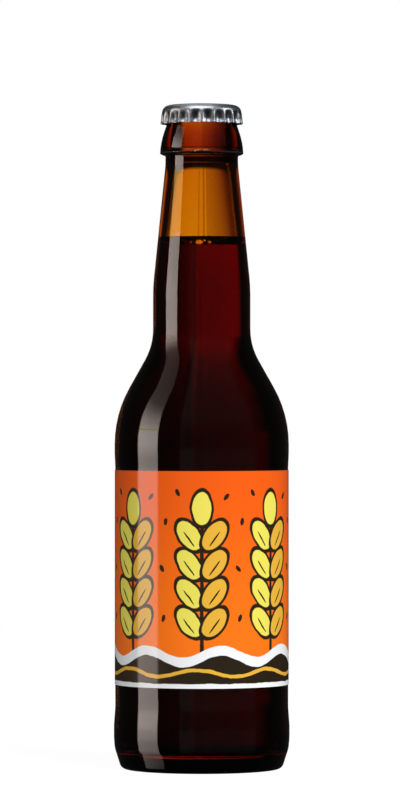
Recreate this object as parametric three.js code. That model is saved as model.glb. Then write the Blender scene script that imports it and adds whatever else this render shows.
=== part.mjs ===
// A long-neck bottle of dark beer: amber glass, the beer in it, a wrap-round label and a crimped crown cap.
// Millimetres, +Z up. The origin is the centre of the base, on the surface that the bottle stands on, and the
// front faces -Y.

import * as THREE from "three";

// Glass, outside: radii from the base up
const PUSH_UP_RADIUS = 15;
const BEARING_RADIUS = 23.2;
const BASE_RADIUS = 27.9;
const HEEL_RADIUS = 30.5;
const PANEL_RADIUS = 30.03;
const SHOULDER_RADIUS = 30.25;
const NECK_RADIUS = 16.9;
const NECK_TOP_RADIUS = 12.62;
const COLLAR_RADIUS = 14.48;
const GROOVE_RADIUS = 12;
const BEAD_RADIUS = 13.1;

// Glass, outside: heights, where two straight stretches of the outline would meet
const PUSH_UP_HEIGHT = 3.4;
const HEEL_FOOT_Z = 7.2;
const HEEL_Z = 10.8;
const HEEL_TOP_Z = 15.2;
const PANEL_BOTTOM_Z = 21.4;
const PANEL_TOP_Z = 104.6;
const SHOULDER_FOOT_Z = 109.4;
const SHOULDER_Z = 123.1;
const NECK_FOOT_Z = 146.9;
const TAPER_FOOT_Z = 167.5;
const NECK_TOP_Z = 209.5;
const COLLAR_FOOT_Z = 212.7;
const COLLAR_Z = 217.4;
const GROOVE_Z = 224.1;
const BEAD_Z = 225.7;
const LIP_Z = 229.3;

// Glass, outside: small steps between those radii and heights
const HEEL_TUCK = 0.3;
const COLLAR_UNDERCUT = 0.6;
const COLLAR_DRAFT = 0.15;

// Glass, outside: radii of the arcs that round the corners off
const PUSH_UP_ROUND = 12;
const BEARING_ROUND = 0.8;
const BASE_ROUND = 2.4;
const HEEL_FOOT_ROUND = 9;
const HEEL_ROUND = 20;
const PANEL_ROUND = 30;
const SHOULDER_ROUND = 40;
const NECK_FOOT_ROUND = 22;
const TAPER_FOOT_ROUND = 60;
const NECK_TOP_ROUND = 20;
const COLLAR_FOOT_ROUND = 0.5;
const COLLAR_EDGE_ROUND = 0.9;
const COLLAR_ROUND = 26;
const GROOVE_ROUND = 0.6;
const BEAD_ROUND = 0.8;
const LIP_ROUND = 2.2;

// Glass, inside. The neck tapers towards the throat, and a ledge below that narrows it to the mouth.
const BODY_WALL = 2.4;
const NECK_WALL = 2.44;
const BASE_WALL = 4.3;
const MOUTH_BORE = 8.4;
const THROAT_BORE = 9.42;
const THROAT_Z = 212;
const LEDGE_Z = 208.8;
const LEDGE_TOP_Z = 211.8;
const MOUTH_DRAFT = 0.05;
const FLOOR_TUCK = 2.5;
const FLOOR_RISE = 0.4;
const HOLLOW_HEEL_RISE = 9;
const HOLLOW_SHOULDER_RISE = 0.6;
const HOLLOW_TAPER_RISE = 1;

// Glass, inside: radii of the arcs that round the corners off
const FLOOR_ROUND = 14;
const FLOOR_EDGE_ROUND = 5;
const HOLLOW_SHOULDER_ROUND = 38;
const HOLLOW_NECK_ROUND = 24;
const MOUTH_ROUND = 0.9;
const LEDGE_TOP_ROUND = 0.5;
const LEDGE_ROUND = 0.8;

// Beer
const FILL_Z = 181.4;
const MENISCUS_RISE = 3.1;
const MENISCUS_REACH = 2.2;
const MENISCUS_FOOT = 0.66;
const MENISCUS_ROUND = 1.5;
const BEER_GAP = 0.15;

// Label
const LABEL_BOTTOM_Z = 29.4;
const LABEL_TOP_Z = 103.7;
const LABEL_GAP = 0.05;
const LABEL_PAPER = 0.15;
const LABEL_SEAM = 7;

// Crown cap, from its bottom edge up. Its skirt radii are those of the hollows between the flutes.
const FLUTES = 21;
const FLUTE_DEPTH = 0.95;
const FLUTE_SHARPNESS = 1.5;
const CAP_SHEET = 0.3;
const CAP_EDGE_Z = 223.9;
const CAP_CRIMP_Z = 225.1;
const CAP_SKIRT_Z = 226.9;
const CAP_STRAIGHT_Z = 227.7;
const CAP_SHOULDER_Z = 228.3;
const CAP_TOP_Z = 230.4;
const CAP_CROWN_Z = 230.65;
const CAP_EDGE_RADIUS = 13.45;
const CAP_CRIMP_RADIUS = 13.32;
const CAP_SKIRT_RADIUS = 13.62;
const CAP_SHOULDER_RADIUS = 13.68;
const CAP_SHOULDER_ROUND = 2.6;

// Fineness of the facets
const GLASS_SIDES = 40;
const LABEL_SIDES = 80;
const CAP_SIDES_PER_FLUTE = 4;
const ARC_SAG = 0.09;

// One corner of an outline: its radius, its height, and the radius of the arc that rounds it off.
function corner(radius, z, round = 0) {
  return { at: new THREE.Vector2(radius, z), round };
}

// The points of an outline: straight from corner to corner, with an arc of chords at each rounded one. No
// chord leaves its arc by more than the sag.
function outline(corners) {
  const points = [];
  corners.forEach(({ at, round }, i) => {
    if (round === 0) {
      points.push(at);
      return;
    }
    const arriving = at.clone().sub(corners[i - 1].at).normalize();
    const leaving = corners[i + 1].at.clone().sub(at).normalize();
    const turn = arriving.angleTo(leaving);
    const side = Math.sign(arriving.cross(leaving));
    const start = at.clone().addScaledVector(arriving, -round * Math.tan(turn / 2));
    const centre = start.clone().add(new THREE.Vector2(-arriving.y, arriving.x).multiplyScalar(side * round));
    const steps = Math.ceil(turn / (2 * Math.acos(1 - ARC_SAG / round)));
    for (let k = 0; k <= steps; k++) {
      points.push(start.clone().rotateAround(centre, (side * turn * k) / steps));
    }
  });
  return points;
}

// A solid of revolution about Z. The outline runs from the axis, up the outside, and back to the axis.
function turned(points, sides) {
  return new THREE.LatheGeometry(points, sides).rotateX(Math.PI / 2);
}

// The outside of the glass, from the middle of the base up to the sealing lip.
function glassOutside() {
  return [
    corner(0, PUSH_UP_HEIGHT),
    corner(PUSH_UP_RADIUS, PUSH_UP_HEIGHT, PUSH_UP_ROUND),
    corner(BEARING_RADIUS, 0, BEARING_ROUND),
    corner(BASE_RADIUS, 0, BASE_ROUND),
    corner(HEEL_RADIUS - HEEL_TUCK, HEEL_FOOT_Z, HEEL_FOOT_ROUND),
    corner(HEEL_RADIUS, HEEL_Z, HEEL_ROUND),
    corner(HEEL_RADIUS, HEEL_TOP_Z, HEEL_ROUND),
    corner(PANEL_RADIUS, PANEL_BOTTOM_Z, HEEL_ROUND),
    corner(PANEL_RADIUS, PANEL_TOP_Z, PANEL_ROUND),
    corner(SHOULDER_RADIUS, SHOULDER_FOOT_Z, PANEL_ROUND),
    corner(SHOULDER_RADIUS, SHOULDER_Z, SHOULDER_ROUND),
    corner(NECK_RADIUS, NECK_FOOT_Z, NECK_FOOT_ROUND),
    corner(NECK_RADIUS, TAPER_FOOT_Z, TAPER_FOOT_ROUND),
    corner(NECK_TOP_RADIUS, NECK_TOP_Z, NECK_TOP_ROUND),
    corner(NECK_TOP_RADIUS, COLLAR_FOOT_Z, COLLAR_FOOT_ROUND),
    corner(COLLAR_RADIUS, COLLAR_FOOT_Z + COLLAR_UNDERCUT, COLLAR_EDGE_ROUND),
    corner(COLLAR_RADIUS - COLLAR_DRAFT, COLLAR_Z, COLLAR_ROUND),
    corner(GROOVE_RADIUS, GROOVE_Z, GROOVE_ROUND),
    corner(BEAD_RADIUS, BEAD_Z, BEAD_ROUND),
    corner(BEAD_RADIUS, LIP_Z, LIP_ROUND),
  ];
}

// The hollow of the bottle up to the throat, drawn in from the glass by an inset.
function hollow(inset) {
  const body = PANEL_RADIUS - BODY_WALL - inset;
  const neck = NECK_RADIUS - NECK_WALL - inset;
  const floor = BASE_WALL + inset;
  return [
    corner(0, PUSH_UP_HEIGHT + floor),
    corner(PUSH_UP_RADIUS, PUSH_UP_HEIGHT + floor, FLOOR_ROUND),
    corner(body - FLOOR_TUCK, floor + FLOOR_RISE, FLOOR_EDGE_ROUND),
    corner(body, floor + HOLLOW_HEEL_RISE, FLOOR_ROUND),
    corner(body, SHOULDER_Z + HOLLOW_SHOULDER_RISE, HOLLOW_SHOULDER_ROUND),
    corner(neck, NECK_FOOT_Z + HOLLOW_SHOULDER_RISE, HOLLOW_NECK_ROUND),
    corner(neck, TAPER_FOOT_Z + HOLLOW_TAPER_RISE, TAPER_FOOT_ROUND),
    corner(THROAT_BORE - inset, THROAT_Z),
  ];
}

// The radius of the hollow at a height in the tapered neck.
function taperRadius(walls, z) {
  const [foot, throat] = walls.slice(-2);
  return THREE.MathUtils.mapLinear(z, foot.at.y, throat.at.y, foot.at.x, throat.at.x);
}

// Amber glass: one wall round an open hollow.
function bottleGlass() {
  const walls = hollow(0);
  const mouth = [
    corner(MOUTH_BORE, LIP_Z, MOUTH_ROUND),
    corner(MOUTH_BORE + MOUTH_DRAFT, LEDGE_TOP_Z, LEDGE_TOP_ROUND),
    corner(taperRadius(walls, LEDGE_Z), LEDGE_Z, LEDGE_ROUND),
  ];
  const inside = walls.slice(0, -1).reverse();
  return turned(outline([...glassOutside(), ...mouth, ...inside]), GLASS_SIDES);
}

// Beer up to the fill level, where its edge climbs the glass a little.
function beer() {
  const walls = hollow(BEER_GAP);
  const rim = FILL_Z + MENISCUS_RISE;
  const rimRadius = taperRadius(walls, rim);
  const surface = [
    corner(rimRadius, rim),
    corner(rimRadius - MENISCUS_FOOT, FILL_Z, MENISCUS_ROUND),
    corner(rimRadius - MENISCUS_REACH, FILL_Z),
    corner(0, FILL_Z),
  ];
  return turned(outline([...walls.slice(0, -1), ...surface]), GLASS_SIDES);
}

// Paper label, wrapped round the panel with its two ends a little apart at the back.
function label() {
  const inside = PANEL_RADIUS + LABEL_GAP;
  const outside = inside + LABEL_PAPER;
  const back = Math.PI / 2;
  const open = LABEL_SEAM / 2 / outside;
  const wrap = new THREE.Shape();
  wrap.absarc(0, 0, outside, back + open, back + 2 * Math.PI - open, false);
  wrap.absarc(0, 0, inside, back + 2 * Math.PI - open, back + open, true);
  const depth = LABEL_TOP_Z - LABEL_BOTTOM_Z;
  return new THREE.ExtrudeGeometry(wrap, { depth, bevelEnabled: false, curveSegments: LABEL_SIDES / 2 });
}

// How far a flute stands out at a point of the skirt: nothing at the cap's shoulder, all of it from the crimp
// down.
function fluteRise(angle, z) {
  const ridge = Math.pow((1 + Math.cos(FLUTES * angle)) / 2, FLUTE_SHARPNESS);
  return FLUTE_DEPTH * ridge * (1 - THREE.MathUtils.smoothstep(z, CAP_CRIMP_Z, CAP_SHOULDER_Z));
}

// Crown cap: one sheet, domed on top, with a fluted skirt that is crimped in under the bead of the glass.
function crownCap() {
  const skirt = [
    corner(CAP_EDGE_RADIUS, CAP_EDGE_Z),
    corner(CAP_CRIMP_RADIUS, CAP_CRIMP_Z),
    corner(CAP_SKIRT_RADIUS, CAP_SKIRT_Z),
    corner(CAP_SHOULDER_RADIUS, CAP_STRAIGHT_Z),
  ];
  const shoulder = corner(CAP_SHOULDER_RADIUS, CAP_TOP_Z, CAP_SHOULDER_ROUND);
  const outer = [...skirt, shoulder, corner(0, CAP_CROWN_Z)];
  const inner = outer.map(({ at, round }) =>
    round > 0
      ? corner(at.x - CAP_SHEET, at.y - CAP_SHEET, round - CAP_SHEET)
      : corner(Math.max(0, at.x - CAP_SHEET), at.x > 0 ? at.y : at.y - CAP_SHEET),
  );
  const geometry = turned(outline([...inner.reverse(), ...outer]), FLUTES * CAP_SIDES_PER_FLUTE);
  const position = geometry.getAttribute("position");
  const vertex = new THREE.Vector3();
  for (let i = 0; i < position.count; i++) {
    vertex.fromBufferAttribute(position, i);
    const radius = Math.hypot(vertex.x, vertex.y);
    const angle = Math.atan2(vertex.x, -vertex.y);
    const grown = radius > 0 ? 1 + fluteRise(angle, vertex.z) / radius : 1;
    position.setXYZ(i, vertex.x * grown, vertex.y * grown, vertex.z);
  }
  return geometry;
}

const AMBER_GLASS = new THREE.MeshStandardMaterial({
  color: 0x5a2a08,
  roughness: 0.05,
  metalness: 0,
  transparent: true,
  opacity: 0.6,
});
const DARK_BEER = new THREE.MeshStandardMaterial({ color: 0x2a0503, roughness: 0.1, metalness: 0 });
const PRINTED_PAPER = new THREE.MeshStandardMaterial({ color: 0xf07818, roughness: 0.3, metalness: 0 });
const SILVER_TINPLATE = new THREE.MeshStandardMaterial({ color: 0xb4b4b6, roughness: 0.3, metalness: 1 });

// One named piece of the bottle.
function piece(name, geometry, material) {
  const mesh = new THREE.Mesh(geometry, material);
  mesh.name = name;
  return mesh;
}

const labelPiece = piece("label", label(), PRINTED_PAPER);
labelPiece.position.z = LABEL_BOTTOM_Z;

const bottle = new THREE.Group();
bottle.add(
  piece("bottle_glass", bottleGlass(), AMBER_GLASS),
  piece("beer", beer(), DARK_BEER),
  labelPiece,
  piece("crown_cap", crownCap(), SILVER_TINPLATE),
);

export default bottle;
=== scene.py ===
"""A full long-neck bottle of dark beer in soft studio light.

The bottle is amber glass, with a printed label wrapped round it and a crimped crown cap. Sizes are in
millimetres, heights are above the surface that it stands on, and the front faces -Y.
"""

from __future__ import annotations

import logging
import math
from collections.abc import Callable, Sequence
from dataclasses import dataclass
from enum import Enum
from typing import Any

import bmesh
import bpy
from bpy.types import Material, NodeSocket, Object, World
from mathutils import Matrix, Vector

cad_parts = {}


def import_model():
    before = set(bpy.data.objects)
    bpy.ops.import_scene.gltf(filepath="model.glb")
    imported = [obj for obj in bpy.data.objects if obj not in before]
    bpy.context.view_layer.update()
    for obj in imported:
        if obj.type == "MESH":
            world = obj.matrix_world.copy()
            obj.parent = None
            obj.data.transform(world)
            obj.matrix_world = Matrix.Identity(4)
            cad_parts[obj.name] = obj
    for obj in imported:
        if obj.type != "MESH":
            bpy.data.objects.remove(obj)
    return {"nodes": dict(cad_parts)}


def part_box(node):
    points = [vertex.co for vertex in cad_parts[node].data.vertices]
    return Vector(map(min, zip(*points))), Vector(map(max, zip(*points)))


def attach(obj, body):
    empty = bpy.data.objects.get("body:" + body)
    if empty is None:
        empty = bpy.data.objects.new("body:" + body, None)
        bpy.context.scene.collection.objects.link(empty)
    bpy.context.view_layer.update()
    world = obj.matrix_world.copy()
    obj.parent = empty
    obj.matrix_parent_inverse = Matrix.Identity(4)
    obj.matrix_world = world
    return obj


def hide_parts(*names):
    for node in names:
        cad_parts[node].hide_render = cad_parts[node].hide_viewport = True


MM = 0.001
HAIR = 0.01 * MM
LOG = logging.getLogger("bottle")

Span = tuple[float, float]
Colour = tuple[float, float, float]
Place = tuple[float, float, float]
Paint = tuple[float, float, float, float]


def paint(*channels: int) -> Paint:
    """A linear colour with full alpha, from red, green and blue as seen on a screen, from 0 to 255."""
    shares = [channel / 255 for channel in channels]
    return (*(s / 12.92 if s <= 0.04045 else ((s + 0.055) / 1.055) ** 2.4 for s in shares), 1.0)


class Wire:
    """A value in a node tree. Python's operators on it add Math nodes."""

    def __init__(self, tree: Tree, socket: NodeSocket) -> None:
        """Wraps an output socket of a tree."""
        self.tree = tree
        self.socket = socket

    def math(self, operation: str, *others: Wire | float) -> Wire:
        """The result of one Math node, of this and the other values."""
        return self.tree.math(operation, self, *others)

    def __add__(self, other: Wire | float) -> Wire:
        """This plus the other."""
        return self.math("ADD", other)

    __radd__ = __add__

    def __sub__(self, other: Wire | float) -> Wire:
        """This less the other."""
        return self.math("SUBTRACT", other)

    def __rsub__(self, other: float) -> Wire:
        """The other less this."""
        return self.tree.math("SUBTRACT", other, self)

    def __mul__(self, other: Wire | float) -> Wire:
        """This times the other."""
        return self.math("MULTIPLY", other)

    __rmul__ = __mul__

    def __truediv__(self, other: Wire | float) -> Wire:
        """This over the other."""
        return self.math("DIVIDE", other)

    def __abs__(self) -> Wire:
        """This without its sign."""
        return self.math("ABSOLUTE")

    def between(self, low: float, high: float) -> Wire:
        """Rises smoothly from 0 at `low` to 1 at `high`, or falls where `low` is the larger.

        Args:
            low: where the result is 0.
            high: where the result is 1.

        Returns:
            The result, from 0 to 1.
        """
        values = {"Value": self, "From Min": min(low, high), "From Max": max(low, high)}
        values |= {"To Min": float(low > high), "To Max": float(low < high)}
        return self.tree.node("MapRange", values, interpolation_type="SMOOTHSTEP")


class Tree:
    """The node tree of a material or of the world, cleared for new nodes."""

    def __init__(self, owner: Material | World) -> None:
        """Takes over the node tree of its owner."""
        owner.use_nodes = True
        self.tree = owner.node_tree
        self.tree.nodes.clear()

    def node(self, kind: str, values: dict[str | int, Any], out: str | int = 0, **settings: Any) -> Wire:
        """Adds one node.

        Args:
            kind: the node's type, as a shader node.
            values: what its input sockets get, as numbers, colours or wires.
            out: the output that the result reads.
            settings: its own settings, which are made first.

        Returns:
            That output.
        """
        made = self.tree.nodes.new(f"ShaderNode{kind}")
        for name, setting in settings.items():
            setattr(made, name, setting)
        for name, value in values.items():
            if isinstance(value, Wire):
                self.tree.links.new(value.socket, made.inputs[name])
            else:
                made.inputs[name].default_value = value
        return Wire(self, made.outputs[out]) if made.outputs else Wire(self, made.inputs[0])

    def math(self, operation: str, *values: Wire | float) -> Wire:
        """The result of one Math node, of the values in order."""
        return self.node("Math", dict(enumerate(values)), operation=operation)

    def place(self) -> tuple[Wire, Wire, Wire]:
        """A point's place on the piece, as x, y and z in millimetres."""
        spot = self.node("TexCoord", {}, "Object")
        return tuple(self.node("SeparateXYZ", {0: spot}, axis) * (1 / MM) for axis in "XYZ")

    def vector(self, x: Wire | float, y: Wire | float, z: Wire | float) -> Wire:
        """Joins three values into a vector."""
        return self.node("CombineXYZ", {"X": x, "Y": y, "Z": z})

    def noise(self, spot: Wire, scale: float, detail: float = 2.0) -> Wire:
        """Soft noise about 0.5, read at `spot`, with `scale` for its fineness and `detail` finer layers."""
        return self.node("TexNoise", {"Vector": spot, "Scale": scale, "Detail": detail})

    def mix(self, share: Wire, below: Any, above: Any) -> Wire:
        """Lays one colour over another.

        Args:
            share: how much of the upper colour covers the lower one.
            below: the lower colour.
            above: the upper colour.

        Returns:
            The mixed colour.
        """
        lower, upper, colour = 6, 7, 2
        values = {0: share, lower: below, upper: above}
        return self.node("Mix", values, colour, data_type="RGBA")

    def bump(self, height: Wire, depth: float) -> Wire:
        """A normal that follows a height, where 1 stands for `depth` in millimetres."""
        values = {"Height": height, "Distance": depth * MM, "Strength": 1.0}
        return self.node("Bump", values, "Normal")

    def surface(self, values: dict[str | int, Any], volume: Wire | None = None) -> None:
        """Ends the tree in a Principled surface.

        Args:
            values: what the surface's sockets get.
            volume: what fills the piece, if light passes through it.
        """
        ends = {"Surface": self.node("BsdfPrincipled", values)}
        if volume:
            ends["Volume"] = volume
        self.node("OutputMaterial", ends)


@dataclass(frozen=True)
class ClearFinish:
    """Something that light passes through, and which takes its colour from its depth.

    `absorption` is the share of red, green and blue that is lost in a millimetre.
    """

    name: str
    ior: float
    absorption: Colour
    ripple: float = 0.0
    ripple_scale: float = 0.16
    ripple_stretch: float = 0.35

    def material(self) -> Material:
        """Makes the material.

        Returns:
            A smooth clear surface round an absorbing volume.
        """
        made = bpy.data.materials.new(self.name)
        tree = Tree(made)
        strongest = max(self.absorption)
        kept = [1 - share / strongest for share in self.absorption]
        volume = tree.node("VolumeAbsorption", {"Color": (*kept, 1.0), "Density": strongest / MM})
        values = {"Roughness": 0.0, "IOR": self.ior, "Transmission Weight": 1.0, "Base Color": (1, 1, 1, 1)}
        if self.ripple:
            x, y, z = tree.place()
            waves = tree.noise(tree.vector(x, y, z * self.ripple_stretch), self.ripple_scale, 1.0)
            values["Normal"] = tree.bump(waves, self.ripple)
        tree.surface(values, volume)
        return made


@dataclass(frozen=True)
class TinplateFinish:
    """Satin silver tinplate with faint scratches, and painted shading laid into the hollows of the skirt's
    flutes.
    """

    name: str = "silver_tinplate"
    bright: Paint = paint(149, 153, 158)
    dull: Paint = paint(127, 131, 136)
    # painted shading: the dark grey that the hollows of the skirt are painted with, standing in for their
    # shading
    painted_shade: Paint = paint(58, 60, 64)
    roughness: float = 0.38
    # where the painted shading lies: from the ridges in to the hollows, and from above the lips up to below
    # the dome
    shaded_hollow_radii: Span = (13.95, 13.4)
    shaded_hollow_foot: Span = (224.9, 225.7)
    shaded_hollow_head: Span = (228.1, 227.1)
    painted_shade_share: float = 0.8
    cloud_scale: float = 0.5
    scratch_scale: float = 3.0
    scratch_slant: float = 0.3
    scratch_squash: float = 4.0
    scratch_gloss: float = 0.12
    scratch_depth: float = 0.006

    def material(self) -> Material:
        """Makes the material.

        Returns:
            Brushed metal whose tone and gloss vary a little, darkened by painted shading in the skirt's
            hollows.
        """
        made = bpy.data.materials.new(self.name)
        tree = Tree(made)
        x, y, z = tree.place()
        spot = tree.vector(x, y, z)
        cloud = tree.noise(spot, self.cloud_scale, 3.0)
        slant = self.scratch_slant
        slanted = tree.vector(x * slant + y, y * slant - x, z * self.scratch_squash)
        scratches = tree.noise(slanted, self.scratch_scale, 4.0)
        radius = (x * x + y * y).math("SQRT")
        # painted shading mask: 1 in the hollows of the fluted skirt, fading out towards the ridges, the
        # lips and the dome
        hollow = radius.between(*self.shaded_hollow_radii) * z.between(*self.shaded_hollow_foot)
        hollow = hollow * z.between(*self.shaded_hollow_head)
        tone = tree.mix(cloud, self.dull, self.bright)
        tree.surface(
            {
                # the base colour turns to the painted shading in the skirt's hollows
                "Base Color": tree.mix(self.painted_shade_share * hollow, tone, self.painted_shade),
                "Metallic": 1.0,
                "Roughness": self.roughness + self.scratch_gloss * (scratches - 0.5),
                "Normal": tree.bump(scratches, self.scratch_depth),
            }
        )
        return made


@dataclass(frozen=True)
class Inks:
    """The printed colours of the label."""

    orange: Paint = paint(252, 118, 14)
    amber: Paint = paint(240, 92, 10)
    yellow: Paint = paint(236, 224, 92)
    gold: Paint = paint(232, 178, 58)
    brown: Paint = paint(42, 32, 20)
    white: Paint = paint(240, 242, 244)


@dataclass
class Sheet:
    """A label while it is printed: a point's place on it, and its colour so far."""

    tree: Tree
    along: Wire
    up: Wire
    colour: Wire

    def lay(self, share: Wire, ink: Paint) -> None:
        """Prints an ink where `share` is 1."""
        self.colour = self.tree.mix(share, self.colour, ink)


@dataclass(frozen=True)
class LabelPrint:
    """A glossy printed paper: a row of barley ears over rolling fields.

    Places on it are millimetres along the paper from the front, and above its lower edge.
    """

    radius: float
    bottom: float
    height: float
    name: str = "printed_paper"
    inks: Inks = Inks()
    ears: int = 7
    kernel_rows: int = 4
    kernel_pitch: float = 9.9
    kernel_length: float = 5.6
    kernel_width: float = 3.3
    kernel_tilt: float = 36.0
    kernel_reach: float = 4.4
    ear_foot: float = 17.6
    outline: float = 0.85
    field_height: float = 12.6
    field_swell: float = 2.0
    edge: float = 0.06
    crease_drop: float = 1.2
    crease_length: float = 3.2
    crease_width: float = 0.3
    stem: Span = (0.75, 0.55)
    stem_top: float = 2.0
    tip_rise: float = 4.2
    hill_edge: Span = (0.1, -0.1)
    hill_band: float = 3.4
    furrow: Span = (0.7, 0.55)
    furrow_drop: float = 7.4
    furrow_swell: float = 1.2
    furrow_shift: float = 2.0
    border: Span = (1.7, 1.5)
    seed_length: float = 1.35
    seed_width: float = 0.7
    seeds: tuple[Place, ...] = (
        (0.0, 24.0, 20.0),
        (-0.6, 41.0, -35.0),
        (0.8, 57.0, 10.0),
        (-5.0, 65.5, 40.0),
        (5.2, 67.0, -25.0),
    )
    wobble_scale: float = 0.22
    wobble_along: float = 0.7
    wobble_up: float = 0.9
    amber_from: float = 14.0
    fibre_scale: float = 3.5
    fibre_ink: float = 0.12
    fibre_depth: float = 0.004
    fibre_gloss: float = 0.1
    roughness: float = 0.42

    def grain(self, x: Wire, y: Wire, length: float, width: float, tilt: float) -> Wire:
        """A grain's distance measure, which is 1 on its edge.

        Args:
            x: place across, from the grain's middle.
            y: place along, from the grain's middle.
            length: half its length.
            width: half its width.
            tilt: how far its tip leans to the right, in degrees.

        Returns:
            The measure, 0 in the middle and growing outwards.
        """
        lean, stand = math.sin(math.radians(tilt)), math.cos(math.radians(tilt))
        along = (x * lean + y * stand) / length
        across = (x * stand - y * lean) / width
        return (along * along + across * across).math("SQRT")

    def inside(self, measure: Wire, grow: float = 1.0) -> Wire:
        """Covers a grain out to `grow` times its size, with a crisp edge."""
        return measure.between(grow + self.edge / 2, grow - self.edge / 2)

    def lay_kernels(self, sheet: Sheet, across: Wire) -> None:
        """Draws one ear's paired kernels, with their creases.

        Args:
            sheet: the label that they are printed on.
            across: place from the ear's stem.
        """
        inks = self.inks
        row = (sheet.up - self.ear_foot) / self.kernel_pitch
        level = row.math("FLOOR")
        rim = 1 + self.outline / self.kernel_width
        for above in (1, 0, -1):
            kernel = level + above
            local = (row - kernel - 0.5) * self.kernel_pitch
            low = local + self.crease_drop
            below_last = kernel.between(self.kernel_rows - 0.4, self.kernel_rows - 0.6)
            on_ear = kernel.between(-0.6, -0.4) * below_last
            for side, ink in ((-1, inks.yellow), (1, inks.gold)):
                place = across - side * self.kernel_reach
                tilt = side * self.kernel_tilt
                measure = self.grain(place, local, self.kernel_length, self.kernel_width, tilt)
                crease = self.grain(place, low, self.crease_length, self.crease_width, tilt)
                sheet.lay(self.inside(measure, rim) * on_ear, inks.brown)
                sheet.lay(self.inside(measure) * on_ear, ink)
                sheet.lay(self.inside(crease) * on_ear, inks.brown)

    def lay_tip(self, sheet: Sheet, across: Wire) -> None:
        """Draws an ear's top kernel, with a stem below the ear.

        Args:
            sheet: the label that it is printed on.
            across: place from the ear's stem.
        """
        inks = self.inks
        top = self.ear_foot + self.kernel_rows * self.kernel_pitch
        above = sheet.up - (top + self.tip_rise)
        measure = self.grain(across, above, self.kernel_length, self.kernel_width, 0)
        rim = 1 + self.outline / self.kernel_width
        below = sheet.up.between(top + self.stem_top, top)
        sheet.lay(abs(across).between(*self.stem) * below, inks.brown)
        sheet.lay(self.inside(measure, rim), inks.brown)
        sheet.lay(self.inside(measure), inks.yellow)

    def lay_fields(self, sheet: Sheet) -> None:
        """Draws the rolling fields along the label's lower edge.

        Args:
            sheet: the label that they are printed on.
        """
        inks, up = self.inks, sheet.up
        turn = sheet.along * (self.ears / self.radius)
        hills = self.field_height + self.field_swell * turn.math("SINE")
        swing = (turn + self.furrow_shift).math("SINE")
        furrow = self.field_height - self.furrow_drop + self.furrow_swell * swing
        sheet.lay((up - hills).between(*self.hill_edge), inks.white)
        sheet.lay((up - hills + self.hill_band).between(*self.hill_edge), inks.brown)
        sheet.lay(abs(up - furrow).between(*self.furrow), inks.gold)
        sheet.lay(up.between(*self.border), inks.white)

    def lay_seeds(self, sheet: Sheet, across: Wire) -> None:
        """Scatters small dark seeds between the ears.

        Args:
            sheet: the label that they are printed on.
            across: place from the middle between two ears.
        """
        for x, y, tilt in self.seeds:
            seed = self.grain(across - x, sheet.up - y, self.seed_length, self.seed_width, tilt)
            sheet.lay(self.inside(seed), self.inks.brown)

    def print_colour(self, tree: Tree) -> Wire:
        """Draws the whole print.

        Args:
            tree: the tree that it is drawn in.

        Returns:
            The label's colour.
        """
        x, y, z = tree.place()
        wobble = tree.noise(tree.vector(x, y, z), self.wobble_scale) - 0.5
        along = tree.math("ARCTAN2", x, y * -1) * self.radius + self.wobble_along * wobble
        up = z - self.bottom + self.wobble_up * wobble
        pitch = 2 * math.pi * self.radius / self.ears
        beside = along - (along / pitch).math("ROUND") * pitch
        midway = along - ((along / pitch).math("FLOOR") + 0.5) * pitch
        ground = tree.mix(up.between(self.amber_from, self.height), self.inks.orange, self.inks.amber)
        sheet = Sheet(tree, along, up, ground)
        self.lay_seeds(sheet, midway)
        self.lay_tip(sheet, beside)
        self.lay_kernels(sheet, beside)
        self.lay_fields(sheet)
        return sheet.colour

    def material(self) -> Material:
        """Makes the material.

        Returns:
            The print under a gloss varnish, with the paper's fibre in it.
        """
        made = bpy.data.materials.new(self.name)
        tree = Tree(made)
        x, y, z = tree.place()
        fibre = tree.noise(tree.vector(x, y, z), self.fibre_scale, 4.0)
        worn = tree.mix(self.fibre_ink * fibre, self.print_colour(tree), self.inks.brown)
        tree.surface(
            {
                "Base Color": worn,
                "Roughness": self.roughness + self.fibre_gloss * fibre,
                "Coat Weight": 0.7,
                "Coat Roughness": 0.1,
                "Specular IOR Level": 0.1,
                "Normal": tree.bump(fibre, self.fibre_depth),
            }
        )
        return made


@dataclass(frozen=True)
class FloorFinish:
    """A plain pale floor that fades away far from the bottle."""

    name: str = "pale_floor"
    colour: Paint = (0.1, 0.1, 0.1, 1.0)
    glow: float = 0.97
    fade_from: float = 300.0
    fade_to: float = 2600.0

    def material(self) -> Material:
        """Makes the material.

        Returns:
            A matt surface that turns clear with distance.
        """
        made = bpy.data.materials.new(self.name)
        tree = Tree(made)
        x, y, _ = tree.place()
        away = tree.math("SQRT", x * x + y * y)
        matt = tree.node("BsdfDiffuse", {"Color": self.colour})
        glow = tree.node("Emission", {"Strength": self.glow})
        lit = tree.node("AddShader", {0: matt, 1: glow})
        clear = tree.node("BsdfTransparent", {})
        faded = away.between(self.fade_from, self.fade_to)
        blend = tree.node("MixShader", {0: faded, 1: lit, 2: clear})
        tree.node("OutputMaterial", {"Surface": blend})
        return made


@dataclass(frozen=True)
class Corner:
    """One corner of a turned piece's outline, and the radius of the arc that rounds it off."""

    radius: float
    height: float
    rounding: float = 0.0

    @property
    def place(self) -> Vector:
        """Where the corner is, as radius and height."""
        return Vector((self.radius, self.height))


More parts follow.
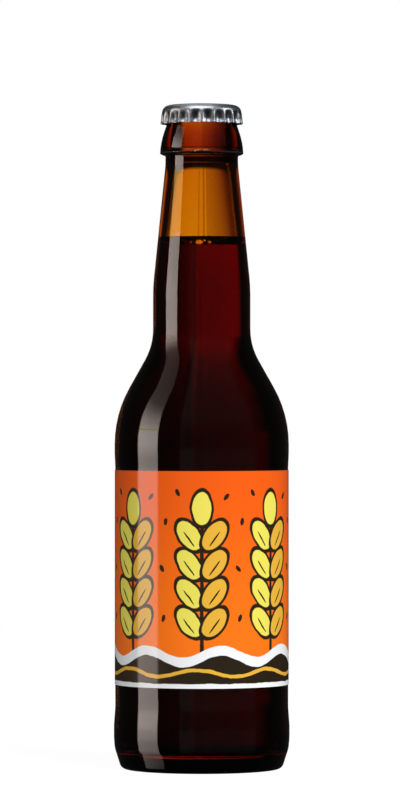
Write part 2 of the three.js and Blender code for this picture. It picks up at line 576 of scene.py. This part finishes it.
class Outline:
    """A turned piece's outline: straight from corner to corner, with an arc at each rounded one."""

    ARC_STEP = math.radians(5)
    STRAIGHT_STEP = 4.0

    def __init__(self, corners: Sequence[Corner]) -> None:
        """Takes the corners in order."""
        self.corners = list(corners)

    def bend(self, index: int) -> list[Vector]:
        """The points of one corner.

        Args:
            index: which corner.

        Returns:
            The corner itself, or the arc that rounds it off.
        """
        corner = self.corners[index]
        if corner.rounding == 0:
            return [corner.place]
        arriving = (corner.place - self.corners[index - 1].place).normalized()
        leaving = (self.corners[index + 1].place - corner.place).normalized()
        side = math.copysign(1, arriving.x * leaving.y - arriving.y * leaving.x)
        turn = arriving.angle(leaving)
        start = corner.place - arriving * corner.rounding * math.tan(turn / 2)
        spoke = Vector((arriving.y, -arriving.x)) * side * corner.rounding
        centre = start - spoke
        steps = max(2, math.ceil(turn / self.ARC_STEP))
        points = []
        for step in range(steps + 1):
            angle = side * turn * step / steps
            cosine, sine = math.cos(angle), math.sin(angle)
            turned = (spoke.x * cosine - spoke.y * sine, spoke.x * sine + spoke.y * cosine)
            points.append(centre + Vector(turned))
        return points

    def points(self) -> list[Vector]:
        """The whole outline.

        Returns:
            Its points in order, close enough together for smooth shading.
        """
        keys = [point for index in range(len(self.corners)) for point in self.bend(index)]
        points = [keys[0]]
        for start, end in zip(keys, keys[1:]):
            pieces = max(1, math.ceil((end - start).length / self.STRAIGHT_STEP))
            points += [start.lerp(end, piece / pieces) for piece in range(1, pieces + 1)]
        return points


class Element(Enum):
    """The kinds of mesh element that can be picked."""

    VERT = "verts"
    EDGE = "edges"
    FACE = "faces"


class Bench:
    """Moves of modelling by hand, on the active object."""

    @staticmethod
    def clear() -> None:
        """Leaves edit mode and deselects everything."""
        if bpy.context.mode != "OBJECT":
            bpy.ops.object.mode_set(mode="OBJECT")
        bpy.ops.object.select_all(action="DESELECT")

    @staticmethod
    def pick(kind: Element, wanted: Callable[[Any], bool]) -> None:
        """Selects the elements that pass a test, in edit mode.

        Args:
            kind: which kind of element is tested.
            wanted: the test.
        """
        bpy.ops.mesh.select_mode(type=kind.name)
        bpy.ops.mesh.select_all(action="DESELECT")
        mesh = bpy.context.object.data
        shape = bmesh.from_edit_mesh(mesh)
        shape.normal_update()
        for element in getattr(shape, kind.value):
            if wanted(element):
                element.select_set(True)
        bmesh.update_edit_mesh(mesh)

    @staticmethod
    def trace(name: str, points: Sequence[Vector], angle: float) -> Object:
        """Draws an outline as a chain of edges, in a new object that stays in edit mode.

        Args:
            name: the new object's name.
            points: radius and height of each point, in millimetres.
            angle: the direction of the outline's plane round the Z axis, anticlockwise from +X.

        Returns:
            The new object.
        """
        Bench.clear()
        bpy.ops.mesh.primitive_plane_add(size=MM)
        piece = bpy.context.object
        piece.name = name
        bpy.ops.object.mode_set(mode="EDIT")
        bpy.ops.mesh.merge(type="CENTER")
        places = [Vector((p.x * math.cos(angle), p.x * math.sin(angle), p.y)) * MM for p in points]
        bpy.ops.transform.translate(value=places[0])
        for start, end in zip(places, places[1:]):
            bpy.ops.mesh.extrude_vertices_move(TRANSFORM_OT_translate={"value": end - start})
        return piece

    @staticmethod
    def spin(steps: int, sweep: float = 2 * math.pi) -> None:
        """Spins the traced outline about the Z axis and closes its seams and poles.

        Args:
            steps: how many columns of faces it makes.
            sweep: how far it turns.
        """
        bpy.ops.mesh.select_all(action="SELECT")
        bpy.ops.mesh.spin(steps=steps, angle=sweep, center=(0, 0, 0), axis=(0, 0, 1))
        bpy.ops.mesh.select_all(action="SELECT")
        bpy.ops.mesh.remove_doubles(threshold=MM / 1000)
        bpy.ops.mesh.normals_make_consistent(inside=False)

    @staticmethod
    def spread(factor: float) -> None:
        """Scales the selection away from the Z axis."""
        bpy.ops.transform.resize(value=(factor, factor, 1), center_override=(0, 0, 0))

    @staticmethod
    def apply(piece: Object, kind: str, **settings: Any) -> None:
        """Adds a modifier to the active object and applies it.

        Args:
            piece: the active object, in object mode.
            kind: the modifier's type.
            settings: its settings.
        """
        modifier = piece.modifiers.new(kind.title(), kind)
        for name, setting in settings.items():
            setattr(modifier, name, setting)
        bpy.ops.object.modifier_apply(modifier=modifier.name)

    @staticmethod
    def swell(piece: Object, weight: Callable[[Any], float], amount: float) -> None:
        """Moves a piece's vertices along their normals.

        Args:
            piece: the active object, in object mode.
            weight: how much of the movement a vertex gets, from 0 to 1.
            amount: the movement in millimetres.
        """
        group = piece.vertex_groups.new(name="swell")
        for vertex in piece.data.vertices:
            group.add([vertex.index], weight(vertex), "REPLACE")
        Bench.apply(piece, "DISPLACE", vertex_group="swell", strength=amount * MM, mid_level=0.0)
        piece.vertex_groups.clear()

    @staticmethod
    def finish(piece: Object) -> None:
        """Leaves edit mode and shades the active piece smooth."""
        Bench.clear()
        piece.select_set(True)
        bpy.context.view_layer.objects.active = piece
        bpy.ops.object.shade_smooth()


class Piece:
    """One piece of the bottle that is seen in place of a solid of the frame."""

    name: str
    node: str
    slot: str
    look: ClearFinish | TinplateFinish

    def build(self) -> Object:
        """Makes the piece's mesh."""
        raise NotImplementedError

    def finish(self) -> Material:
        """Makes the piece's material."""
        return self.look.material()

    def make(self) -> Object:
        """Builds and dresses the piece, and hangs it on the frame.

        Returns:
            The finished piece.
        """
        piece = self.build()
        piece.data.materials.clear()
        piece.data.materials.append(self.finish())
        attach(piece, "root")
        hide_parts(self.node)
        LOG.info("%s: %d faces in place of %s", piece.name, len(piece.data.polygons), self.node)
        return piece


@dataclass
class Hollow:
    """The hollow of the bottle, which the beer fills up to its level."""

    body: float = 27.63
    neck: float = 14.46
    floor: float = 7.7
    floor_flat: float = 15.0
    heel: float = 4.7
    heel_inset: float = 2.5
    heel_rise: float = 8.6
    shoulder_z: float = 123.7
    neck_foot_z: float = 147.5
    taper_foot_z: float = 168.5
    throat: float = 9.42
    throat_z: float = 212.0

    def corners(self, grow: float = 0.0) -> list[Corner]:
        """Its outline from the middle of its floor up to the throat.

        Args:
            grow: how far the outline is pushed out into the glass.

        Returns:
            The corners in order.
        """
        body, neck = self.body + grow, self.neck + grow
        return [
            Corner(0, self.floor - grow),
            Corner(self.floor_flat, self.floor - grow, 14),
            Corner(body - self.heel_inset, self.heel - grow, 5),
            Corner(body, self.heel + self.heel_rise - grow, 14),
            Corner(body, self.shoulder_z, 38),
            Corner(neck, self.neck_foot_z, 24),
            Corner(neck, self.taper_foot_z, 60),
            Corner(self.throat + grow, self.throat_z),
        ]

    def taper_radius(self, height: float) -> float:
        """The hollow's radius at a height in the tapered neck."""
        share = (height - self.taper_foot_z) / (self.throat_z - self.taper_foot_z)
        return self.neck + share * (self.throat - self.neck)


@dataclass
class BottleGlass(Piece):
    """The amber glass, with its two mould seams and the knurled ring that it stands on."""

    hollow: Hollow
    name: str = "amber_glass_bottle"
    node: str = "bottle_glass"
    slot: str = "amber_glass"
    columns: int = 144
    push_up: float = 3.4
    base: float = 27.9
    bearing: float = 23.2
    heel: float = 30.5
    panel: float = 30.03
    shoulder: float = 30.25
    neck: float = 16.9
    neck_top: float = 12.62
    collar: float = 14.48
    bead: float = 12.75
    lip_z: float = 229.3
    lip_rounding: float = 0.9
    mouth: float = 8.4
    mouth_draft: float = 0.05
    ledge_z: float = 210.2
    ledge_rounding: float = 2.0
    ledge_top_z: float = 212.2
    ledge_top_rounding: float = 1.2
    seam_angle: float = math.radians(-86)
    seam_half_width: float = 0.16
    seam_rise: float = 0.003
    seam_foot_z: float = 4.0
    seam_top_z: float = 212.0
    knurl_inset: float = 0.18
    knurl_rise: float = 0.35
    wall_waves: float = 0.12
    wave_foot_z: float = 4.5
    fine_wave_share: float = 0.6
    facing: float = 0.3
    look: ClearFinish = ClearFinish("amber_glass", 1.52, (0.151, 0.365, 1.6), 0.02)

    def outside(self) -> list[Corner]:
        """Its outer outline from the middle of the base up to the lip.

        Returns:
            The corners in order.
        """
        return [
            Corner(0, self.push_up),
            Corner(15, self.push_up, 12),
            Corner(self.bearing, 0, 0.8),
            Corner(self.base, 0, 2.4),
            Corner(self.heel - 0.3, 7.2, 9),
            Corner(self.heel, 10.8, 20),
            Corner(self.heel, 15.2, 20),
            Corner(self.panel, 21.4, 20),
            Corner(self.panel, 104.6, 30),
            Corner(self.shoulder, 109.4, 30),
            Corner(self.shoulder, 123.1, 40),
            Corner(self.neck, 146.9, 22),
            Corner(self.neck, 167.5, 60),
            Corner(self.neck_top, 209.5, 20),
            Corner(self.neck_top, 212.7, 0.5),
            Corner(self.collar, 213.3, 0.9),
            Corner(self.collar - 0.15, 217.4, 26),
            Corner(12, 224.1, 0.6),
            Corner(self.bead, 225.7, 0.8),
            Corner(self.bead, self.lip_z, 2.2),
        ]

    def build(self) -> Object:
        """Spins the wall, presses the knurls and raises the seams.

        Returns:
            The glass.
        """
        mouth = [
            Corner(self.mouth, self.lip_z, self.lip_rounding),
            Corner(self.mouth + self.mouth_draft, self.ledge_top_z, self.ledge_top_rounding),
            Corner(self.hollow.taper_radius(self.ledge_z), self.ledge_z, self.ledge_rounding),
        ]
        inside = self.hollow.corners()[-2::-1]
        points = Outline([*self.outside(), *mouth, *inside]).points()
        piece = Bench.trace(self.name, points, self.seam_angle)
        Bench.spin(self.columns)
        self.press_knurls()
        self.raise_seams()
        Bench.finish(piece)
        Bench.swell(piece, self.wall_wave, self.wall_waves)
        Bench.finish(piece)
        return piece

    def press_knurls(self) -> None:
        """Presses short grooves into every second face of the ring that the bottle stands on."""
        step = 2 * math.pi / self.columns

        def on_ring(face: Any) -> bool:
            """True for every second face of the flat ring."""
            middle = face.calc_center_median()
            column = math.floor((math.atan2(middle.y, middle.x) - self.seam_angle) / step)
            flat = face.normal.z < -0.999 and middle.z < HAIR
            return flat and column % 2 == 0 and middle.xy.length > self.bearing * MM

        Bench.pick(Element.FACE, on_ring)
        bpy.ops.mesh.inset(thickness=self.knurl_inset * MM, use_individual=True)
        bpy.ops.transform.translate(value=(0, 0, self.knurl_rise * MM))

    def raise_seams(self) -> None:
        """Raises the two fine ridges that the halves of the mould leave, front and back."""
        along = Vector((math.cos(self.seam_angle), math.sin(self.seam_angle)))

        def on_seam(vertex: Any) -> bool:
            """True for a vertex of the outer wall in the plane of the seams."""
            spot = vertex.co.xy
            level = self.seam_foot_z * MM < vertex.co.z < self.seam_top_z * MM
            outer = vertex.normal.xy.dot(spot) > self.facing * spot.length
            return level and outer and abs(spot.cross(along)) < HAIR

        Bench.pick(Element.EDGE, lambda edge: all(on_seam(vertex) for vertex in edge.verts))
        bpy.ops.mesh.bevel(offset=self.seam_half_width * MM, segments=2, affect="EDGES")
        Bench.pick(Element.VERT, on_seam)
        Bench.spread(1 + self.seam_rise)

    def wall_wave(self, vertex: Any) -> float:
        """How far the wall's inner face stands out, as unevenly blown glass does.

        Args:
            vertex: a vertex of the glass.

        Returns:
            A share from 0 to 1, which is 0 on the outer face.
        """
        spot = vertex.co.xy
        low = vertex.co.z < self.wave_foot_z * MM
        if low or spot.length < MM or vertex.normal.xy.dot(spot) > -self.facing * spot.length:
            return 0.0
        angle, height = math.atan2(spot.y, spot.x), vertex.co.z / MM
        broad = math.sin(3 * angle + 0.02 * height)
        fine = math.sin(7 * angle - 0.03 * height + 1)
        waves = broad + fine * self.fine_wave_share
        return 0.5 + 0.3 * waves / (1 + self.fine_wave_share)


@dataclass(frozen=True)
class Bubble:
    """A bubble at the beer's edge: its angle round the neck from the front, to the right, and its size."""

    angle: float
    height: float
    width: float
    depth: float = 2.6


@dataclass
class Beer(Piece):
    """The beer, with its edge climbing the glass and a few bubbles against it."""

    hollow: Hollow
    name: str = "dark_beer"
    node: str = "beer"
    slot: str = "dark_beer"
    columns: int = 144
    level: float = 181.4
    climb: float = 3.1
    climb_reach: float = 3.6
    climb_power: float = 1.7
    overlap: float = 0.3
    edge_steps: int = 24
    sharp_angle: float = math.radians(50)
    bubble_inset: float = 0.6
    bubble_flatness: float = 0.68
    bubbles: tuple[Bubble, ...] = (
        Bubble(-3.5, 182.3, 1.6),
        Bubble(-17, 182.2, 0.75),
        Bubble(-23, 182.2, 0.5),
        Bubble(12, 182.3, 0.85),
        Bubble(4, 182.9, 0.5),
        Bubble(96, 182.2, 1.1),
        Bubble(112, 182.2, 0.7),
        Bubble(201, 182.3, 1.3),
        Bubble(216, 182.2, 0.6),
        Bubble(287, 182.2, 0.9),
    )
    look: ClearFinish = ClearFinish("dark_beer", 1.345, (0.079, 0.33, 0.8))

    def build(self) -> Object:
        """Spins the beer and cuts the bubbles out of its edge.

        Returns:
            The beer.
        """
        walls = Outline(self.hollow.corners(self.overlap)).points()
        rim = self.level + self.climb
        points = [point for point in walls if point.y < rim]
        edge = self.hollow.taper_radius(rim) + self.overlap
        points.append(Vector((edge, rim)))
        for step in range(1, self.edge_steps + 1):
            inwards = edge * (step / self.edge_steps) ** 2
            share = min(1.0, max(0.0, inwards - self.overlap) / self.climb_reach)
            height = self.level + self.climb * (1 - share) ** self.climb_power
            points.append(Vector((edge - inwards, height)))
        piece = Bench.trace(self.name, points, 0.0)
        Bench.spin(self.columns)
        Bench.finish(piece)
        cutter = self.blow_bubbles()
        bpy.context.view_layer.objects.active = piece
        Bench.apply(piece, "BOOLEAN", object=cutter, operation="DIFFERENCE", solver="MANIFOLD")
        bpy.data.objects.remove(cutter)
        Bench.finish(piece)
        bpy.ops.object.shade_smooth_by_angle(angle=self.sharp_angle)
        return piece

    def blow_bubbles(self) -> Object:
        """Makes the bubbles as flattened balls against the glass.

        Returns:
            All of them in one object, to cut with.
        """
        made = []
        for bubble in self.bubbles:
            Bench.clear()
            angle = math.radians(bubble.angle)
            reach = self.hollow.taper_radius(bubble.height) - self.bubble_inset * bubble.depth
            place = Vector((math.sin(angle) * reach, -math.cos(angle) * reach, bubble.height)) * MM
            bpy.ops.mesh.primitive_uv_sphere_add(segments=24, ring_count=14, radius=MM)
            ball = bpy.context.object
            bpy.ops.object.mode_set(mode="EDIT")
            tall = bubble.width * self.bubble_flatness
            bpy.ops.transform.resize(value=(bubble.width, bubble.depth, tall))
            bpy.ops.object.mode_set(mode="OBJECT")
            ball.rotation_euler.z = angle
            ball.location = place
            bpy.ops.object.transform_apply()
            made.append(ball)
        Bench.clear()
        for ball in made:
            ball.select_set(True)
        bpy.context.view_layer.objects.active = made[0]
        bpy.ops.object.join()
        return made[0]


@dataclass
class WrapLabel(Piece):
    """The paper label, wrapped round the bottle with its ends a little apart at the back."""

    low: Vector
    high: Vector
    name: str = "wrap_label"
    node: str = "label"
    slot: str = "printed_paper"
    columns: int = 180
    inner_radius: float = 30.05
    paper: float = 0.16
    opening: float = 7.0
    sharp_angle: float = math.radians(40)

    @property
    def ends(self) -> Span:
        """The heights of its lower and upper edges."""
        return (self.low.z / MM, self.high.z / MM)

    def build(self) -> Object:
        """Spins a sheet and gives it the paper's thickness.

        Returns:
            The label.
        """
        bottom, top = self.ends
        points = Outline([Corner(self.inner_radius, bottom), Corner(self.inner_radius, top)]).points()
        gap = self.opening / self.inner_radius
        piece = Bench.trace(self.name, points, math.pi / 2 - gap / 2)
        Bench.spin(self.columns, 2 * math.pi - gap)
        Bench.finish(piece)
        Bench.apply(piece, "SOLIDIFY", thickness=self.paper * MM, offset=1.0)
        Bench.finish(piece)
        bpy.ops.object.shade_smooth_by_angle(angle=self.sharp_angle)
        return piece

    def finish(self) -> Material:
        """The printed paper."""
        bottom, top = self.ends
        return LabelPrint(self.inner_radius + self.paper, bottom, top - bottom).material()


@dataclass(frozen=True)
class SkirtRing:
    """One ring of the cap's skirt: its height, and its radii in the hollows and on the ridges."""

    height: float
    hollow: float
    ridge: float


@dataclass
class CrownCap(Piece):
    """The crown cap: a domed sheet with a fluted skirt, crimped in under the bead."""

    name: str = "fluted_crown_cap"
    node: str = "crown_cap"
    slot: str = "silver_tinplate"
    flutes: int = 21
    columns_per_flute: int = 4
    sheet: float = 0.3
    crown_z: float = 230.65
    top_radius: float = 4.0
    dome: tuple[Span, ...] = ((8.0, 230.6), (10.6, 230.5), (11.9, 230.3), (12.9, 229.8), (13.55, 229.0))
    skirt: tuple[SkirtRing, ...] = (
        SkirtRing(228.3, 13.74, 13.78),
        SkirtRing(227.6, 13.36, 14.1),
        SkirtRing(226.8, 13.14, 14.4),
        SkirtRing(226.0, 13.08, 14.52),
        SkirtRing(225.2, 13.08, 14.6),
        SkirtRing(224.5, 13.25, 14.66),
        SkirtRing(223.8, 13.62, 14.74),
    )
    flank_share: float = 0.2
    look: TinplateFinish = TinplateFinish()

    def build(self) -> Object:
        """Draws the sheet down ring by ring, flutes its skirt and rounds it off.

        Returns:
            The cap.
        """
        Bench.clear()
        columns = self.flutes * self.columns_per_flute
        bpy.ops.mesh.primitive_circle_add(vertices=columns, radius=self.top_radius * MM, fill_type="TRIFAN")
        piece = bpy.context.object
        piece.name = self.name
        bpy.ops.object.mode_set(mode="EDIT")
        bpy.ops.transform.translate(value=(0, 0, self.crown_z * MM))
        Bench.pick(Element.EDGE, lambda edge: edge.is_boundary)
        radius, height = self.top_radius, self.crown_z
        for next_radius, next_height in [*self.dome, *((ring.hollow, ring.height) for ring in self.skirt)]:
            move = {"value": (0, 0, (next_height - height) * MM)}
            bpy.ops.mesh.extrude_edges_move(TRANSFORM_OT_translate=move)
            Bench.spread(next_radius / radius)
            radius, height = next_radius, next_height
        self.raise_flutes(columns)
        bpy.ops.mesh.select_all(action="SELECT")
        bpy.ops.mesh.normals_make_consistent(inside=False)
        Bench.finish(piece)
        Bench.apply(piece, "SOLIDIFY", thickness=self.sheet * MM, offset=-1.0)
        Bench.apply(piece, "SUBSURF", levels=2, render_levels=2)
        Bench.finish(piece)
        return piece

    def raise_flutes(self, columns: int) -> None:
        """Pulls every fourth column of the skirt out into a ridge, with its neighbours part of the way.

        Args:
            columns: how many columns the sheet has.
        """
        half = self.columns_per_flute // 2
        for ring in self.skirt:
            for apart in range(half):
                share = 1.0 if apart == 0 else self.flank_share

                def on_column(vertex: Any) -> bool:
                    """True for this ring's vertices that are so many columns from a ridge."""
                    column = round(math.atan2(vertex.co.x, -vertex.co.y) / (2 * math.pi) * columns)
                    beside = (column + half) % self.columns_per_flute - half
                    return abs(vertex.co.z - ring.height * MM) < HAIR and abs(beside) == apart

                Bench.pick(Element.VERT, on_column)
                Bench.spread(1 + share * (ring.ridge / ring.hollow - 1))


@dataclass(frozen=True)
class Softbox:
    """A square softbox: its place, its size and its power."""

    place: Place
    size: float
    watts: float

    def hang(self, name: str, aim_height: float) -> Object:
        """Hangs the softbox, turned to the bottle and unseen by the camera.

        Args:
            name: the light's name.
            aim_height: the height on the bottle's axis that it is turned to.

        Returns:
            The light.
        """
        bpy.ops.object.light_add(type="AREA", location=Vector(self.place) * MM)
        lamp = bpy.context.object
        lamp.name = name
        lamp.data.size = self.size * MM
        lamp.data.energy = self.watts
        aim = Vector((0, 0, aim_height)) - Vector(self.place)
        lamp.rotation_euler = aim.to_track_quat("-Z", "Y").to_euler()
        lamp.visible_camera = False
        return lamp


@dataclass(frozen=True)
class Panels:
    """The lit panels round the bottle.

    Each span of angles runs from where a panel is dark to where it is full.
    """

    back_left: Span = (-30, -16)
    back_left_level: Span = (-31.5, -24)
    level_foot: Span = (-7, -4.5)
    level_head: Span = (3.2, 2.4)
    back_foot: Span = (-50, -40)
    back_head: Span = (7.5, 4.6)
    core: Span = (1.2, -0.4)
    core_share: float = 0.26
    halo: Span = (14, -2)
    halo_share: float = 0.5
    warm: Span = (38, 2)
    warm_share: float = 0.24
    warm_low: Span = (40, 15)
    warm_low_head: Span = (-2.5, -5)
    warm_low_share: float = 0.14
    strip_near: Span = (59.5, 61.5)
    strip_far: Span = (95, 92)
    strip_head: Span = (36, 3)
    strip_haze: Span = (80, 30)
    strip_haze_share: float = 0.12
    strip_dim: Span = (-10, 4)
    strip_foot: Span = (-46, -8)
    front_right: Span = (-80, -74)
    front_left: Span = (31, 28)
    front_step: Span = (8, 13)
    front_levels: Span = (0.7, 0.6)
    front_foot: Span = (-30, -12)
    gap_foot: Span = (-0.5, 1)
    gap_head: Span = (26, 12)
    gap_share: float = 0.6
    neck_line: float = 0.2018
    neck_foot: Span = (0.0318, 0.033)
    neck_head: Span = (0.0462, 0.0445)

    def backdrop(self, lift: Wire, from_back: Wire) -> tuple[Wire, Wire]:
        """The panel behind the bottle, which shows through the glass.

        Args:
            lift: the angle above level.
            from_back: the angle from the back, to the right.

        Returns:
            Its white light and its warm light.
        """
        level = lift.between(*self.level_foot) * lift.between(*self.level_head)
        left = from_back.between(*self.back_left)
        side = left.math("MAXIMUM", level * from_back.between(*self.back_left_level))
        reach = side * lift.between(*self.back_foot) * lift.between(*self.back_head)
        core = self.core_share * from_back.between(*self.core)
        halo = self.halo_share * from_back.between(*self.halo)
        warm = self.warm_share * from_back.between(*self.warm)
        low = self.warm_low_share * lift.between(*self.warm_low_head)
        return reach * (core + halo), reach * (warm + low * from_back.between(*self.warm_low))

    def strip(self, lift: Wire, from_front: Wire) -> Wire:
        """The tall strip at the left, which mirrors down the glass.

        Args:
            lift: the angle above level.
            from_front: the angle from the front, to the left.

        Returns:
            Its light, from 0 to 1.
        """
        side = from_front.between(*self.strip_near) * from_front.between(*self.strip_far)
        height = lift.between(*self.strip_head) + self.strip_haze_share * lift.between(*self.strip_haze)
        return side * height * (0.5 + 0.5 * lift.between(*self.strip_dim)) * lift.between(*self.strip_foot)

    def empty_neck(self, rise: Wire, from_front: Wire) -> Wire:
        """1 where the strip mirrors in the empty neck. `rise` is the sine of the angle above level."""
        above = rise - self.neck_line * (from_front * (math.pi / 360)).math("COSINE")
        return above.between(*self.neck_foot) * above.between(*self.neck_head)

    def front(self, lift: Wire, from_front: Wire) -> Wire:
        """The dim panel in front, with a darker band above level.

        Args:
            lift: the angle above level.
            from_front: the angle from the front, to the left.

        Returns:
            Its light.
        """
        low, more = self.front_levels
        side = from_front.between(*self.front_right) * from_front.between(*self.front_left)
        panel = side * (low + more * from_front.between(*self.front_step))
        gap = self.gap_share * lift.between(*self.gap_foot) * lift.between(*self.gap_head)
        return panel * lift.between(*self.front_foot) * (1 - gap)


@dataclass
class Studio:
    """The floor, the light and the camera."""

    camera_away: float = 1737.0
    camera_height: float = 128.0
    camera_left: float = 0.6
    lens_pixels: float = 5000.0
    image_height: int = 800
    sensor: float = 36.0
    clip: Span = (0.05, 50.0)
    bounces: int = 24
    floor_radius: float = 3000.0
    key: Softbox = Softbox((620.0, -900.0, 900.0), 700.0, 17.0)
    cap_lights: tuple[Softbox, ...] = (
        Softbox((-40.0, -360.0, 780.0), 640.0, 6.5),
        Softbox((480.0, -120.0, 430.0), 200.0, 1.4),
        Softbox((-60.0, 330.0, 800.0), 420.0, 0.6),
    )
    panels: Panels = Panels()
    backdrop: float = 1.5
    strip: float = 4.9
    strip_colour: Paint = (1.0, 0.86, 0.78, 1.0)
    strip_tint: Paint = (0.9, 0.7, 0.2, 1.0)
    warm_colour: Paint = (1.0, 0.42, 0.2, 1.0)
    ambient: float = 0.017
    front_light: float = 0.06
    fill_light: float = 0.12

    def lay_floor(self) -> None:
        """Lays a pale floor under the bottle. It gives light to the bottle, but does not mirror in it."""
        Bench.clear()
        bpy.ops.mesh.primitive_circle_add(vertices=96, radius=self.floor_radius * MM, fill_type="NGON")
        floor = bpy.context.object
        floor.name = "pale_floor"
        floor.data.materials.append(FloorFinish().material())
        floor.visible_glossy = False
        floor.visible_transmission = False

    def hang_softboxes(self, cap: Object) -> None:
        """Hangs a key light at the front right for what is matt, and small softboxes for the cap alone.

        Args:
            cap: the crown cap.
        """
        key = self.key.hang("key_softbox", self.camera_height)
        key.visible_glossy = False
        key.visible_transmission = False
        receivers = bpy.data.collections.new("lit_by_cap_softboxes")
        receivers.objects.link(cap)
        for light in self.cap_lights:
            lamp = light.hang("cap_softbox", cap.bound_box[0][2] / MM)
            lamp.light_linking.receiver_collection = receivers

    def light_world(self) -> None:
        """Sets the lit panels that the glass and the metal mirror, round a white background."""
        world = bpy.data.worlds.new("studio")
        bpy.context.scene.world = world
        tree = Tree(world)
        spot = tree.node("TexCoord", {}, "Generated")
        x, y, z = (tree.node("SeparateXYZ", {0: spot}, axis) for axis in "XYZ")
        degrees = 180 / math.pi
        lift = z.math("ARCSINE") * degrees
        from_back = tree.math("ARCTAN2", x, y) * degrees
        from_front = tree.math("ARCTAN2", x * -1, y * -1) * degrees
        rays = ("Is Camera Ray", "Is Transmission Ray", "Is Diffuse Ray")
        seen, through, scattered = (tree.node("LightPath", {}, ray) for ray in rays)
        backdrop, warm = self.panels.backdrop(lift, from_back)
        strip = self.panels.strip(lift, from_front)
        front = self.panels.front(lift, from_front)
        ambient = self.ambient + self.front_light * front * (1 - through) + self.fill_light * scattered
        tint = tree.mix(self.panels.empty_neck(z, from_front), self.strip_colour, self.strip_tint)
        lights = (
            ((1, 1, 1, 1), seen + (1 - seen) * (ambient + self.backdrop * backdrop * through)),
            (tint, (1 - seen) * (1 - through) * (1 - scattered) * strip * self.strip),
            (self.warm_colour, (1 - seen) * through * warm * self.backdrop),
        )
        room, softbox, glow = (
            tree.node("Background", {"Color": colour, "Strength": strength})
            for colour, strength in lights
        )
        lamps = tree.node("AddShader", {0: softbox, 1: glow})
        shown = tree.node("AddShader", {0: room, 1: lamps})
        tree.node("OutputWorld", {"Surface": shown})
        world.cycles.sampling_method = "NONE"

    def set_camera(self) -> None:
        """Sets the camera at the height and distance of the view, level and facing the bottle."""
        place = Vector((-self.camera_left, -self.camera_away, self.camera_height)) * MM
        bpy.ops.object.camera_add(location=place, rotation=(math.pi / 2, 0, 0))
        camera = bpy.context.object
        camera.data.sensor_width = self.sensor
        camera.data.lens = self.sensor * self.lens_pixels / self.image_height
        camera.data.clip_start, camera.data.clip_end = self.clip
        bpy.context.scene.camera = camera

    def make(self, cap: Object) -> None:
        """Makes the whole studio, and shows colours as they are.

        Args:
            cap: the crown cap, which has lights of its own.
        """
        self.lay_floor()
        self.hang_softboxes(cap)
        self.light_world()
        self.set_camera()
        scene = bpy.context.scene
        scene.view_settings.view_transform = "Standard"
        scene.cycles.max_bounces = self.bounces
        scene.cycles.transmission_bounces = self.bounces
        LOG.info("studio: floor, softboxes, lit panels and camera")


def main() -> None:
    """Builds the bottle round the frame, piece by piece."""
    logging.basicConfig(level=logging.INFO, format="%(message)s")
    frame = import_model()
    LOG.info("frame: %d nodes", len(frame["nodes"]))
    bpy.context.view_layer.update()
    hollow = Hollow()
    BottleGlass(hollow).make()
    Beer(hollow).make()
    WrapLabel(*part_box("label")).make()
    cap = CrownCap().make()
    Studio().make(cap)


if __name__ == "__main__":
    main()
